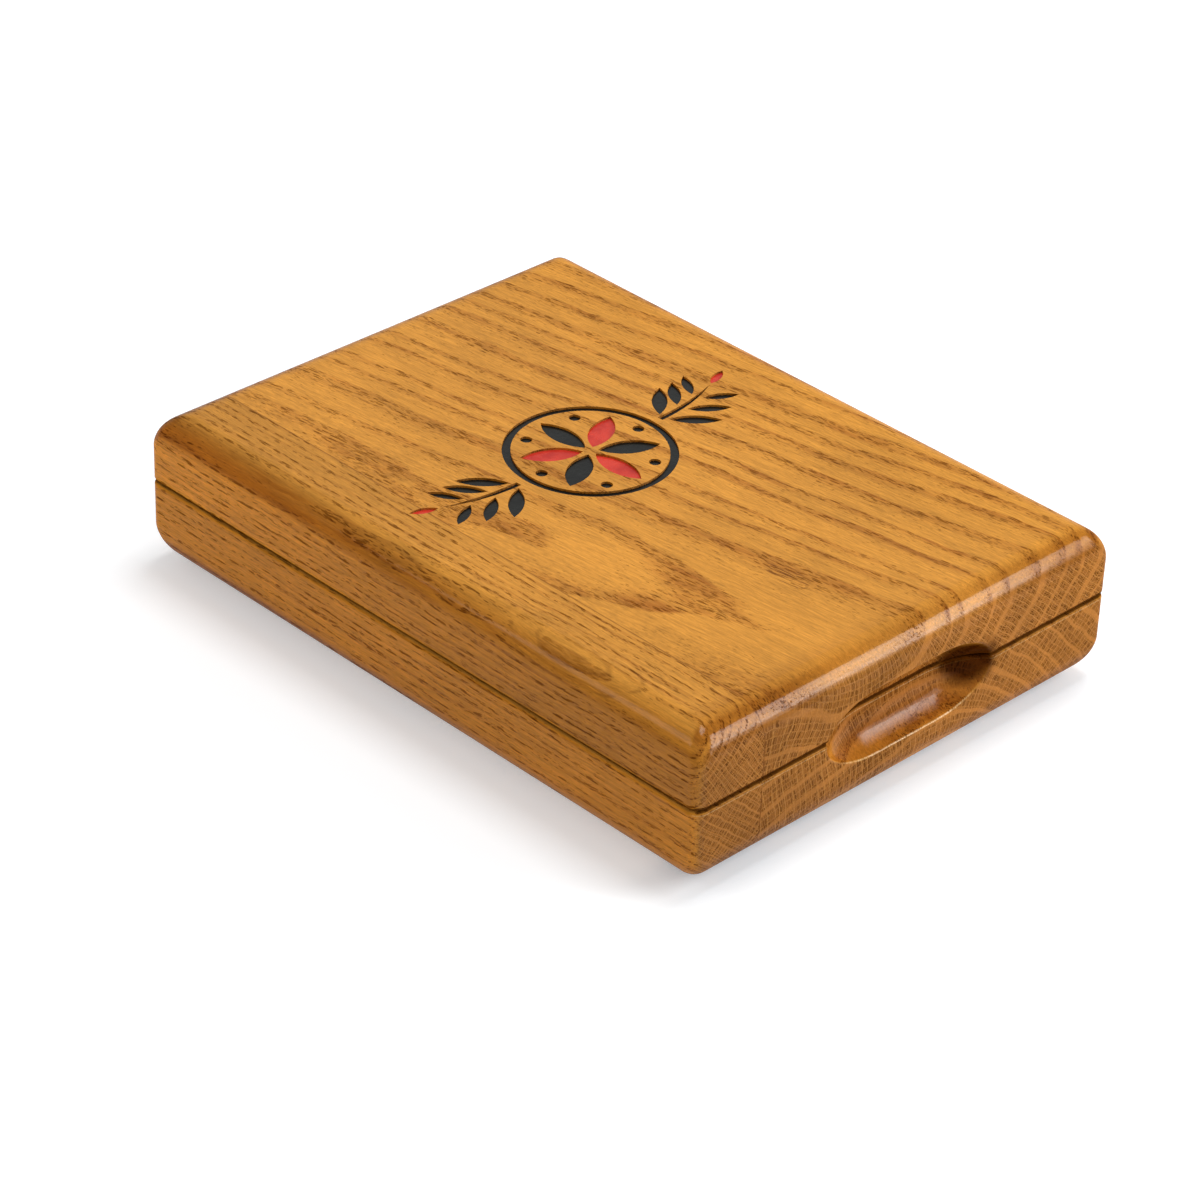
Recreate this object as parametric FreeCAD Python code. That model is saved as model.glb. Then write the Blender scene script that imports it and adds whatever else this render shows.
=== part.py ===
"""Playing card box: two milled oak halves, closed by magnets, with a finger scoop.

Each half is one block of solid oak with a pocket milled into its parting face.
The deck lies on felt in the base's pocket and stands proud of it into the lid's.
Disc magnets near the four corners pull the halves together, two brass pins keep
them in line, and a long oval scoop across the parting line at the front end
lets a fingertip part them. The lid's top is engraved, with enamel in the cuts.

Frame: millimetres, +Z up, origin at the centre of the base's bottom face.
X is the width, Y the length; the front end, with the scoop, is at -Y.
"""
import FreeCAD
import Part
import math
import os

from FreeCAD import Vector

# The deck, and how it lies in the box
CARD_WIDTH = 63.0
CARD_LENGTH = 88.0
CARD_CLEARANCE = 1.0       # on each side of the deck
DECK_THICKNESS = 16.5
DECK_SUNK = 9.8            # how much of the deck lies below the base's parting face
DECK_HEAD_ROOM = 0.5

# Felt liners, one on the floor of each pocket
FELT_THICKNESS = 0.8
FELT_MARGIN = 0.3          # between a liner's edge and the pocket's wall

# Oak left around the pockets
SIDE_WALL = 9.5
END_WALL = 12.5
BASE_FLOOR = 3.2
LID_CEILING = 3.2
POCKET_CORNER_RADIUS = 3.0
POCKET_RIM_RADIUS = 0.6

# Outer edges
TOP_EDGE_RADIUS = 5.0
BOTTOM_EDGE_RADIUS = 6.5
CORNER_RADIUS = 2.0        # the four upright corners
PARTING_EDGE_RADIUS = 0.5  # the sanded edges along the parting line
PARTING_GAP = 0.3          # the magnets stand proud and hold the halves this far apart

# Finger scoop, shaped by a round bar along X with long oval ends
SCOOP_RADIUS = 6.0
SCOOP_PLUNGE = 3.8
SCOOP_STRAIGHT = 12.1      # the part of the bar that is equally thick
SCOOP_END_LENGTH = 11.7    # each end narrows over this as half an ellipse
SCOOP_DROP = 0.6           # its axis lies this far below the middle of the parting gap
SCOOP_RIM_RADIUS = 0.4

# Disc magnets, glued into blind bores
MAGNET_RADIUS = 3.0
MAGNET_THICKNESS = 3.0
MAGNET_EDGE_RADIUS = 0.3
MAGNET_GLUE_GAP = 0.05
MAGNET_OUTER_WOOD = 3.5    # between a magnet's bore and the outer faces

# Locating pins, pressed into the base and free in the lid
PIN_RADIUS = 1.5
PIN_DEPTH = 6.0            # below the base's parting face
PIN_REACH = 3.6            # above it
PIN_END_CHAMFER = 0.5
PIN_PRESS_GAP = 0.01
PIN_SLIDE_GAP = 0.08
PIN_END_ROOM = 0.8         # between a pin's end and the bottom of its hole in the lid

# Engraving on the lid's top
ENGRAVING_DEPTH = 0.7
ENAMEL_THICKNESS = 0.35
ORNAMENT_Y = 7.0           # from the middle of the lid to the rosette's centre
RING_RADIUS = 13.0
RING_LINE = 1.3
PETAL_PAIRS = 3
PETAL_ROOT = 1.1           # from the rosette's centre to a petal's root
PETAL_TIP_GAP = 1.1        # from a petal's tip to the ring
PETAL_GAP = 2.1            # wood left between two petals at their widest
DOT_RADIUS = 0.9
DOT_TO_RING = 1.9          # from a dot's centre to the ring
STEM_TO_RING = 1.3
STEM_LENGTH = 13.2
STEM_BEND_RADIUS = 36.0
STEM_WIDTH = 1.0           # at its root
STEM_MIDDLE_WIDTH = 0.75   # at half its length; its far end is a point
LEAF_PAIRS = 3
LEAF_FIRST = 0.9           # from the stem's root to the first pair
LEAF_LENGTH = 8.0          # of the first pair
LEAF_TAPER = 0.84          # the length of each pair over the one before
LEAF_SPREAD = 44.0         # degrees between a leaf and the stem
LEAF_GAP = 0.45            # wood left between a leaf and the stem or the next leaf
BUD_LENGTH = 4.4
BUD_WIDTH = 1.5

# Sizes and places that follow
BASE_POCKET_DEPTH = DECK_SUNK + FELT_THICKNESS
DECK_IN_LID = DECK_THICKNESS - DECK_SUNK - PARTING_GAP
LID_POCKET_DEPTH = DECK_IN_LID + DECK_HEAD_ROOM + FELT_THICKNESS
POCKET_WIDTH = CARD_WIDTH + 2 * CARD_CLEARANCE
POCKET_LENGTH = CARD_LENGTH + 2 * CARD_CLEARANCE
BOX_WIDTH = POCKET_WIDTH + 2 * SIDE_WALL
BOX_LENGTH = POCKET_LENGTH + 2 * END_WALL
FRONT_Y = -BOX_LENGTH / 2
BASE_TOP = BASE_FLOOR + BASE_POCKET_DEPTH
LID_BOTTOM = BASE_TOP + PARTING_GAP
LID_POCKET_TOP = LID_BOTTOM + LID_POCKET_DEPTH
LID_TOP = LID_POCKET_TOP + LID_CEILING
PARTING_MIDDLE = (BASE_TOP + LID_BOTTOM) / 2
MAGNET_BORE_RADIUS = MAGNET_RADIUS + MAGNET_GLUE_GAP
MAGNET_X = BOX_WIDTH / 2 - MAGNET_OUTER_WOOD - MAGNET_BORE_RADIUS
MAGNET_Y = BOX_LENGTH / 2 - MAGNET_OUTER_WOOD - MAGNET_BORE_RADIUS
PIN_X = (BOX_WIDTH + POCKET_WIDTH) / 4   # the middle of a side wall
TINY = 1e-4
NEAR = 1e-2


def upright_edges(shape):
    """The straight edges of a block that run along Z."""
    return [e for e in shape.Edges if e.BoundBox.XLength < TINY and e.BoundBox.YLength < TINY]


def edges_at_height(shape, z):
    """The edges of a shape that lie wholly in the plane at height z."""
    return [e for e in shape.Edges
            if abs(e.BoundBox.ZMin - z) < TINY and abs(e.BoundBox.ZMax - z) < TINY]


def slab(width, length, z_low, z_high, corner_radius):
    """An upright slab centred on the Z axis, with rounded upright corners."""
    block = Part.makeBox(width, length, z_high - z_low, Vector(-width / 2, -length / 2, z_low))
    return block.makeFillet(corner_radius, upright_edges(block))


def outer_block(z_parting, z_far, far_radius):
    """A half before milling, from its parting face to its far one, all its edges rounded."""
    block = slab(BOX_WIDTH, BOX_LENGTH, min(z_parting, z_far), max(z_parting, z_far), CORNER_RADIUS)
    block = block.makeFillet(far_radius, edges_at_height(block, z_far))
    return block.makeFillet(PARTING_EDGE_RADIUS, edges_at_height(block, z_parting))


def finger_scoop():
    """What the scoop takes away: a bar along X whose ends narrow as half an ellipse."""
    middle = Vector(0, FRONT_Y + SCOOP_PLUNGE - SCOOP_RADIUS, PARTING_MIDDLE - SCOOP_DROP)
    out = Vector(0, -SCOOP_RADIUS, 0)
    half = Vector(SCOOP_STRAIGHT / 2, 0, 0)
    reach = half + Vector(SCOOP_END_LENGTH, 0, 0)
    oval_ends = [Part.Arc(Part.Ellipse(middle + tip, middle + shoulder + out, middle + shoulder),
                          0, math.pi / 2).toShape()
                 for tip, shoulder in ((-reach, -half), (reach, half))]
    outer_side = Part.LineSegment(middle - half + out, middle + half + out).toShape()
    axis = Part.LineSegment(middle + reach, middle - reach).toShape()
    profile = Part.Face(Part.Wire([oval_ends[0], outer_side, oval_ends[1], axis]))
    return profile.revolve(middle, Vector(1, 0, 0), 360)


def scoop_rim(shape):
    """The edges where the scoop breaks out: they lie on its bar, but not square to its run."""
    skin = finger_scoop().Shells[0]
    return [e for e in shape.Edges if e.BoundBox.XLength > TINY
            and all(skin.distToShape(Part.Vertex(point))[0] < NEAR for point in e.discretize(3))]


def pocket_rim(shape, z):
    """The edges round a pocket's mouth."""
    return [e for e in edges_at_height(shape, z)
            if abs(e.BoundBox.Center.x) < POCKET_WIDTH / 2 + TINY
            and abs(e.BoundBox.Center.y) < POCKET_LENGTH / 2 + TINY]


def milled_half(block, z_parting, z_pocket_end):
    """A half with its scoop and its pocket, their rims softened."""
    half = block.cut(finger_scoop())
    half = half.makeFillet(SCOOP_RIM_RADIUS, scoop_rim(half))
    z_low, z_high = sorted((z_parting, z_pocket_end))
    half = half.cut(slab(POCKET_WIDTH, POCKET_LENGTH, z_low, z_high, POCKET_CORNER_RADIUS))
    return half.makeFillet(POCKET_RIM_RADIUS, pocket_rim(half, z_parting))


def disc(radius, z_low, z_high, x, y):
    """An upright cylinder at (x, y) between two heights."""
    return Part.makeCylinder(radius, z_high - z_low, Vector(x, y, z_low))


def corner_places():
    """The name and the place of each corner's magnet pair."""
    return [(end + "_" + side, sx * MAGNET_X, sy * MAGNET_Y)
            for end, sy in (("front", -1), ("rear", 1))
            for side, sx in (("left", -1), ("right", 1))]


def magnet(z_low, x, y):
    """One disc magnet with softened rims."""
    body = disc(MAGNET_RADIUS, z_low, z_low + MAGNET_THICKNESS, x, y)
    rims = edges_at_height(body, z_low) + edges_at_height(body, z_low + MAGNET_THICKNESS)
    return body.makeFillet(MAGNET_EDGE_RADIUS, rims)


def locating_pin(x):
    """A round pin standing in the base, chamfered at both ends."""
    z_low, z_high = BASE_TOP - PIN_DEPTH, BASE_TOP + PIN_REACH
    body = disc(PIN_RADIUS, z_low, z_high, x, 0)
    ends = edges_at_height(body, z_low) + edges_at_height(body, z_high)
    return body.makeChamfer(PIN_END_CHAMFER, ends)


def felt_liner(z_low):
    """A felt sheet cut to lie on a pocket's floor."""
    return slab(POCKET_WIDTH - 2 * FELT_MARGIN, POCKET_LENGTH - 2 * FELT_MARGIN,
                z_low, z_low + FELT_THICKNESS, POCKET_CORNER_RADIUS - FELT_MARGIN)


def plane_point(x, y):
    """A point of the ornament, measured from the rosette's centre."""
    return Vector(x, ORNAMENT_Y + y, 0)


def on_circle(radius, heading):
    """The x and y of a point at a heading in degrees on a circle round the rosette's centre."""
    turn = math.radians(heading)
    return radius * math.cos(turn), radius * math.sin(turn)


def lens(x, y, heading, length, width):
    """A leaf or petal: two equal arcs from a root at (x, y) along a heading in degrees."""
    root = plane_point(x, y)
    along = Vector(*on_circle(1, heading), 0)
    aside = Vector(-along.y, along.x, 0)
    tip = root + along * length
    left, right = (root + along * (length / 2) + aside * (side * width / 2) for side in (1, -1))
    return Part.Face(Part.Wire([Part.Arc(root, left, tip).toShape(),
                                Part.Arc(tip, right, root).toShape()]))


def dot(x, y, radius):
    """A round spot of the ornament."""
    return Part.Face(Part.Wire([Part.makeCircle(radius, plane_point(x, y))]))


def ring():
    """The band round the rosette."""
    return dot(0, 0, RING_RADIUS).cut(dot(0, 0, RING_RADIUS - RING_LINE))


def rosette():
    """Petals of two colours in turn, with a dot between each two, as two lists of faces."""
    rim = RING_RADIUS - RING_LINE
    step = 180 / PETAL_PAIRS
    tip = rim - PETAL_TIP_GAP
    width = (tip + PETAL_ROOT) * math.sin(math.radians(step / 2)) - PETAL_GAP
    black, red = [], []
    for k in range(2 * PETAL_PAIRS):
        heading = 90 + k * step
        x, y = on_circle(PETAL_ROOT, heading)
        (red if k % 2 else black).append(lens(x, y, heading, tip - PETAL_ROOT, width))
        x, y = on_circle(rim - DOT_TO_RING, heading + step / 2)
        black.append(dot(x, y, DOT_RADIUS))
    return black, red


def stem_point(travel, offset=0.0):
    """Where the right-hand stem's arc is after a travel, at an offset to its left.

    Gives x, y and the stem's heading there in degrees.
    """
    turn = travel / STEM_BEND_RADIUS
    reach = STEM_BEND_RADIUS - offset
    return (RING_RADIUS + STEM_TO_RING + reach * math.sin(turn),
            STEM_BEND_RADIUS - reach * math.cos(turn), math.degrees(turn))


def stem():
    """The right-hand stem, bent upwards and drawn out to a point."""
    stations = ((0, -STEM_WIDTH / 2), (STEM_LENGTH / 2, -STEM_MIDDLE_WIDTH / 2), (STEM_LENGTH, 0),
                (STEM_LENGTH / 2, STEM_MIDDLE_WIDTH / 2), (0, STEM_WIDTH / 2))
    low, low_middle, tip, high_middle, high = (plane_point(*stem_point(*station)[:2])
                                               for station in stations)
    return Part.Face(Part.Wire([Part.Arc(low, low_middle, tip).toShape(),
                                Part.Arc(tip, high_middle, high).toShape(),
                                Part.LineSegment(high, low).toShape()]))


def sprig():
    """The right-hand sprig, as its black faces and its red bud."""
    black = [stem()]
    pitch = (STEM_LENGTH - LEAF_FIRST) / LEAF_PAIRS
    width = pitch * math.sin(math.radians(LEAF_SPREAD)) - LEAF_GAP
    for k in range(LEAF_PAIRS):
        for side in (1, -1):
            x, y, heading = stem_point(LEAF_FIRST + k * pitch, side * (STEM_WIDTH / 2 + LEAF_GAP))
            black.append(lens(x, y, heading + side * LEAF_SPREAD,
                              LEAF_LENGTH * LEAF_TAPER ** k, width * LEAF_TAPER ** k))
    x, y, heading = stem_point(STEM_LENGTH + LEAF_GAP)
    return black, [lens(x, y, heading, BUD_LENGTH, BUD_WIDTH)]


def ornament():
    """All faces of the engraving, as its black ones and its red ones."""
    middle_black, middle_red = rosette()
    right_black, right_red = sprig()
    black = [ring()] + middle_black + right_black
    red = middle_red + right_red
    across = (Vector(0, 0, 0), Vector(1, 0, 0))
    black += [face.mirror(*across) for face in right_black]
    red += [face.mirror(*across) for face in right_red]
    return black, red


def raised(faces, z_low, z_high):
    """Flat faces made into solids between two heights."""
    solids = [face.extrude(Vector(0, 0, z_high - z_low)) for face in faces]
    return [solid.translated(Vector(0, 0, z_low)) for solid in solids]


def base_shell():
    """The lower half, bored for its magnets and pins."""
    shell = milled_half(outer_block(BASE_TOP, 0, BOTTOM_EDGE_RADIUS), BASE_TOP, BASE_FLOOR)
    magnet_low = PARTING_MIDDLE - MAGNET_THICKNESS
    bores = [disc(MAGNET_BORE_RADIUS, magnet_low, LID_BOTTOM, x, y) for _, x, y in corner_places()]
    bores += [disc(PIN_RADIUS + PIN_PRESS_GAP, BASE_TOP - PIN_DEPTH, LID_BOTTOM, side * PIN_X, 0)
              for side in (-1, 1)]
    return shell.cut(bores)


def lid_shell(engraved_faces):
    """The upper half, bored for its magnets and pins and engraved on top."""
    block = outer_block(LID_BOTTOM, LID_TOP, TOP_EDGE_RADIUS)
    shell = milled_half(block, LID_BOTTOM, LID_POCKET_TOP)
    magnet_high = PARTING_MIDDLE + MAGNET_THICKNESS
    bores = [disc(MAGNET_BORE_RADIUS, BASE_TOP, magnet_high, x, y) for _, x, y in corner_places()]
    bores += [disc(PIN_RADIUS + PIN_SLIDE_GAP, BASE_TOP, BASE_TOP + PIN_REACH + PIN_END_ROOM,
                   side * PIN_X, 0) for side in (-1, 1)]
    cuts = raised(engraved_faces, LID_TOP - ENGRAVING_DEPTH, LID_TOP + ENGRAVING_DEPTH)
    return shell.cut(bores).cut(cuts)


def box_parts():
    """Every piece of the box by name."""
    black, red = ornament()
    floor_of_cuts = LID_TOP - ENGRAVING_DEPTH
    enamel_top = floor_of_cuts + ENAMEL_THICKNESS
    parts = {
        "base_shell": base_shell(),
        "lid_shell": lid_shell(black + red),
        "base_felt_liner": felt_liner(BASE_FLOOR),
        "lid_felt_liner": felt_liner(LID_POCKET_TOP - FELT_THICKNESS),
        "locating_pin_left": locating_pin(-PIN_X),
        "locating_pin_right": locating_pin(PIN_X),
        "black_enamel_inlay": Part.makeCompound(raised(black, floor_of_cuts, enamel_top)),
        "red_enamel_inlay": Part.makeCompound(raised(red, floor_of_cuts, enamel_top)),
    }
    for corner, x, y in corner_places():
        parts["base_magnet_" + corner] = magnet(PARTING_MIDDLE - MAGNET_THICKNESS, x, y)
        parts["lid_magnet_" + corner] = magnet(PARTING_MIDDLE, x, y)
    return parts


os.makedirs("parts", exist_ok=True)
for name, shape in box_parts().items():
    shape.exportStep("parts/" + name + ".step")
    size = shape.BoundBox
    print(f"{name}: {len(shape.Solids)} solid(s), valid {shape.isValid()}, {shape.Volume:.1f} mm3, "
          f"{size.XLength:.1f} x {size.YLength:.1f} x {size.ZLength:.1f} mm")
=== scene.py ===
"""Playing card box of lacquered oak: its finishes, its fine pieces, and the studio round it."""

import math

import bpy
import numpy as np
from mathutils import Matrix, Vector


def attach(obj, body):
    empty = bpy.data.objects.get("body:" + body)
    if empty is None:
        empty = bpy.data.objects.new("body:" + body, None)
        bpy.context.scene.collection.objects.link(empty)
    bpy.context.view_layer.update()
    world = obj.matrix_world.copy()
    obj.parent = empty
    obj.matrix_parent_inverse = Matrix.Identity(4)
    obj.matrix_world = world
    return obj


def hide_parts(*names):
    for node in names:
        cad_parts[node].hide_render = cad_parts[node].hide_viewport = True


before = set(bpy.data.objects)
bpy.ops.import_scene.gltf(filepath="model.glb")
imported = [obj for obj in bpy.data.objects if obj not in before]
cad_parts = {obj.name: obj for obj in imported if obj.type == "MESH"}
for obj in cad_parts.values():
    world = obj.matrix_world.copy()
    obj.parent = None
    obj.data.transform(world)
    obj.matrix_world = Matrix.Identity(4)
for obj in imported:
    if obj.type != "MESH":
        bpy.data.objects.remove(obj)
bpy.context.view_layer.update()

MM = 0.001  # metres in a millimetre

# Oak, in millimetres
HALF_LENGTH = 57.5
MIDDLE_HEIGHT = 12.0
PARTING_HEIGHT = 13.95
GLUE_LINE = -29.6  # where the narrow strip is glued to the wide board
BOARD_SHIFT = 31.7  # sets the board's cells apart from the strip's
KNOT = (-39.0, -29.0, 25.0)
KNOT_LIFT = 1.0  # how far the rings rise at the knot
CRACKS = (-3.0, -36.0, 25.0)
# The middle of the painted shade at the finger hollow's far end
HOLLOW_END = (15.0, -54.0, 14.0)
HOLLOW_HEIGHT = 13.4

# Oak's year lines, in millimetres
BEND_SOFTNESS = 7.0
STAIR_PLACE = -20.0
STAIR_WIDTH = 8.0

# Felt and the axes of the pins and magnets, in millimetres
FELT_SIZE = (64.4, 89.4)
FELT_CORNER = 2.7
FELT_THICKNESS = 0.8
BASE_FELT_LOW = 3.2
LID_FELT_LOW = 21.0
PIN_AXIS = (37.25, 0.0, 0.0)
MAGNET_AXIS = (35.45, 50.95, 0.0)


# -------- node helpers

class Nodes:
    """Short ways to add and join shader nodes in one tree."""

    def __init__(self, tree):
        self.tree = tree

    def add(self, kind, inputs=None, **settings):
        """A node of a kind, with settings as attributes and inputs as values or sockets."""
        node = self.tree.nodes.new(kind)
        for name, value in settings.items():
            setattr(node, name, value)
        for name, value in (inputs or {}).items():
            self.put(node.inputs[name], value)
        return node

    def put(self, socket, value):
        """Feeds a socket from another socket, or sets its value."""
        if isinstance(value, bpy.types.NodeSocket):
            self.tree.links.new(value, socket)
        else:
            socket.default_value = value

    def math(self, operation, a, b=0.0, c=0.0, clamp=False):
        """One scalar operation."""
        node = self.add("ShaderNodeMath", operation=operation, use_clamp=clamp)
        for socket, value in zip(node.inputs, (a, b, c)):
            self.put(socket, value)
        return node.outputs[0]

    def product(self, first, *others):
        """All the numbers multiplied together."""
        for other in others:
            first = self.math("MULTIPLY", first, other)
        return first

    def times_plus(self, a, b, c):
        """Number a times b, plus c."""
        return self.math("MULTIPLY_ADD", a, b, c)

    def largest(self, first, *others):
        """The largest of the numbers."""
        for other in others:
            first = self.math("MAXIMUM", first, other)
        return first

    def rest(self, share):
        """What a share leaves of one."""
        return self.math("SUBTRACT", 1.0, share)

    def apart(self, a, b):
        """How far two numbers lie apart."""
        return self.math("ABSOLUTE", self.math("SUBTRACT", a, b))

    def vector(self, operation, a, b=(0.0, 0.0, 0.0)):
        """One vector operation."""
        node = self.add("ShaderNodeVectorMath", operation=operation)
        self.put(node.inputs[0], a)
        self.put(node.inputs[1], b)
        return node.outputs[0]

    def scaled(self, a, b):
        """Vector a multiplied by vector b."""
        return self.vector("MULTIPLY", a, b)

    def length(self, vector):
        """A vector's length."""
        node = self.add("ShaderNodeVectorMath", {0: vector}, operation="LENGTH")
        return node.outputs["Value"]

    def join(self, x, y, z):
        """A vector from three scalars."""
        return self.add("ShaderNodeCombineXYZ", {"X": x, "Y": y, "Z": z}).outputs[0]

    def split(self, vector):
        """The three scalars of a vector."""
        return self.add("ShaderNodeSeparateXYZ", {"Vector": vector}).outputs[:3]

    def place(self):
        """The point in the object's own coordinates, in millimetres."""
        point = self.add("ShaderNodeTexCoord").outputs["Object"]
        return self.scaled(point, (1 / MM, 1 / MM, 1 / MM))

    def ramp(self, value, low, high, to_low=0.0, to_high=1.0):
        """A smooth step from to_low at low to to_high at high."""
        node = self.add("ShaderNodeMapRange", interpolation_type="SMOOTHSTEP")
        for socket, number in zip(node.inputs[:5], (value, low, high, to_low, to_high)):
            self.put(socket, number)
        return node.outputs[0]

    def band(self, value, low, full, still_full, high):
        """A smooth step from 0 up to 1 and another down to 0."""
        return self.product(self.ramp(value, low, full),
                            self.ramp(value, still_full, high, 1.0, 0.0))

    def blend(self, share, a, b, blend_type="MIX"):
        """Colour a turned towards colour b by a share."""
        node = self.add("ShaderNodeMix", data_type="RGBA", blend_type=blend_type)
        self.put(node.inputs[0], share)
        self.put(node.inputs[6], a)
        self.put(node.inputs[7], b)
        return node.outputs[2]

    def shaded(self, color, shade):
        """A colour multiplied by a number."""
        return self.scaled(color, self.join(shade, shade, shade))

    def noise(self, vector, scale=1.0, detail=2.0, roughness=0.5):
        """Noise as a value round 0.5 and as a colour."""
        node = self.add("ShaderNodeTexNoise", {"Vector": vector, "Scale": scale,
                                               "Detail": detail, "Roughness": roughness})
        return node.outputs["Fac"], node.outputs["Color"]


def new_group(name, inputs, outputs):
    """A shader group with named sockets; gives its helper, inputs, outputs and tree."""
    tree = bpy.data.node_groups.new(name, "ShaderNodeTree")
    for label, kind, value in inputs:
        socket = tree.interface.new_socket(label, in_out="INPUT", socket_type=kind)
        if value is not None:
            socket.default_value = value
    for label, kind in outputs:
        tree.interface.new_socket(label, in_out="OUTPUT", socket_type=kind)
    nodes = Nodes(tree)
    return nodes, nodes.add("NodeGroupInput").outputs, nodes.add("NodeGroupOutput").inputs, tree


def srgb(red, green, blue):
    """A colour written as 0 to 255 on screen, as linear light with full alpha."""
    linear = [c / 12.92 if c <= 0.04045 else ((c + 0.055) / 1.055) ** 2.4
              for c in (red / 255, green / 255, blue / 255)]
    return (*linear, 1.0)


def add_object(name, data):
    """A new object in the scene."""
    item = bpy.data.objects.new(name, data)
    bpy.context.scene.collection.objects.link(item)
    return item


def add_mesh(name, points, faces):
    """A new object in the scene with a mesh of points and faces."""
    mesh = bpy.data.meshes.new(name)
    mesh.from_pydata(points, [], faces)
    return add_object(name, mesh)


FLOAT, VECTOR, COLOR = "NodeSocketFloat", "NodeSocketVector", "NodeSocketColor"
SURFACE = [("Color", COLOR), ("Roughness", FLOAT), ("Height", FLOAT)]


# -------- oak: the log

LINE_VALUES = ("Lean", "Bend", "Corner", "Stair")
BOARD_VALUES = (*LINE_VALUES, "Drift", "Dive", "Ring Width", "Warp", "Seed")

WAVE_PACE = (0.3, 0.11, 0.3)  # waves per millimetre of the rings' small waves
WAVE_REACH = (0.8, 0.0, 0.8)  # millimetres
WARP_PACE = (0.05, 0.02, 0.05)
FIBRE_DIVE = 0.5  # how much of the rings' dive the fibres follow
UNEVEN_PACE = 0.55  # waves per year of the uneven ring widths
UNEVEN_YEARS = 1.6


def build_ring_line_group():
    """Height and slope of a year's boundary on the end grain, at a place across the board.

    The line leans by a constant slope, bends by a further slope past a corner, along a
    hyperbola, and drops once like a smooth stair, along a hyperbolic tangent.
    """
    nodes, given, result, tree = new_group(
        "ring_line", [(label, FLOAT, 0.0) for label in ("Across", *LINE_VALUES)],
        [("Height", FLOAT), ("Slope", FLOAT)])
    past = nodes.math("SUBTRACT", given["Across"], given["Corner"])
    root = nodes.math("SQRT", nodes.times_plus(past, past, BEND_SOFTNESS ** 2))
    turn = nodes.product(nodes.math("ADD", past, root), 0.5)
    turn_slope = nodes.times_plus(nodes.math("DIVIDE", past, root), 0.5, 0.5)
    stair = nodes.math("DIVIDE", nodes.math("SUBTRACT", given["Across"], STAIR_PLACE), STAIR_WIDTH)
    stair = nodes.math("TANH", stair)
    drop = nodes.times_plus(stair, -0.5, 0.5)
    drop_slope = nodes.times_plus(nodes.product(stair, stair),
                                  0.5 / STAIR_WIDTH, -0.5 / STAIR_WIDTH)
    height = nodes.product(given["Across"], given["Lean"])
    height = nodes.times_plus(turn, given["Bend"], height)
    height = nodes.times_plus(drop, given["Stair"], height)
    slope = nodes.times_plus(turn_slope, given["Bend"], given["Lean"])
    slope = nodes.times_plus(drop_slope, given["Stair"], slope)
    nodes.put(result["Height"], height)
    nodes.put(result["Slope"], slope)
    return tree


def build_log_group(ring_line):
    """Where a point lies in the tree that its board was cut from.

    The point is in millimetres. Depth is the distance up from a year's boundary, Tangent runs
    along that boundary square to Depth, Along follows the fibres, and Year counts the rings,
    which also drift across the board along its length.
    """
    nodes, given, result, tree = new_group(
        "log_place",
        [("Point", VECTOR, None)] + [(label, FLOAT, 0.0) for label in BOARD_VALUES],
        [(label, FLOAT) for label in ("Depth", "Tangent", "Along", "Year")])
    seeded = nodes.vector("ADD", given["Point"], nodes.join(given["Seed"], 0.0, given["Seed"]))
    wave = nodes.noise(nodes.scaled(seeded, WAVE_PACE), detail=1.0)[1]
    wave = nodes.vector("SUBTRACT", wave, (0.5, 0.5, 0.5))
    point = nodes.vector("ADD", given["Point"], nodes.scaled(wave, WAVE_REACH))
    x, y, z = nodes.split(point)
    near = nodes.add("ShaderNodeGroup", {"Across": x}, node_tree=ring_line)
    from_front = nodes.math("ADD", y, HALF_LENGTH)
    drifted = nodes.times_plus(given["Drift"], from_front, x)
    far = nodes.add("ShaderNodeGroup", {"Across": drifted}, node_tree=ring_line)
    for line in (near, far):
        for label in LINE_VALUES:
            nodes.put(line.inputs[label], given[label])
    fibre_z = nodes.times_plus(given["Dive"], nodes.product(from_front, FIBRE_DIVE), z)
    depth = nodes.math("SUBTRACT", fibre_z, near.outputs["Height"])
    tangent = nodes.times_plus(near.outputs["Slope"],
                               nodes.math("SUBTRACT", fibre_z, MIDDLE_HEIGHT), x)
    slow = nodes.noise(nodes.scaled(seeded, WARP_PACE), detail=3.0)[0]
    slow = nodes.product(nodes.math("SUBTRACT", slow, 0.5), given["Warp"])
    rings = nodes.math("SUBTRACT", nodes.times_plus(given["Dive"], from_front, z),
                       far.outputs["Height"])
    rings = nodes.math("ADD", rings, slow)
    year = nodes.math("DIVIDE", rings, given["Ring Width"])
    counted = nodes.join(nodes.product(year, UNEVEN_PACE), given["Seed"], 0.0)
    uneven = nodes.noise(counted, detail=1.0)[0]
    year = nodes.times_plus(uneven, UNEVEN_YEARS, year)
    for label, value in (("Depth", depth), ("Tangent", tangent), ("Along", y), ("Year", year)):
        nodes.put(result[label], value)
    return tree


# -------- oak: the figure

OAK_COLORS = {
    "Wood": srgb(213, 146, 58), "Early Wood": srgb(162, 95, 30), "Vessel": srgb(98, 50, 10),
    "End Wood": srgb(174, 112, 48), "End Cell": srgb(92, 52, 14), "Ray": srgb(206, 146, 72),
    # The lip's pale colour is a painted highlight
    "Lip Highlight": srgb(246, 214, 158),
    # These are multiplied into the wood's own colour. All but the first and the fourth are painted
    # shade: in the finger hollow, in the joint's gap and at the hollow's far end, and in the round
    # edges
    "Porous Tint": (0.78, 0.74, 0.66, 1.0), "Hollow Shade": (0.72, 0.58, 0.42, 1.0),
    "Recess Shade": (0.155, 0.1, 0.05, 1.0), "Side Tint": (1.02, 0.86, 0.48, 1.0),
    "Edge Tint": (0.56, 0.45, 0.27, 1.0)}
WHITE = (1.0, 1.0, 1.0, 1.0)

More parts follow.
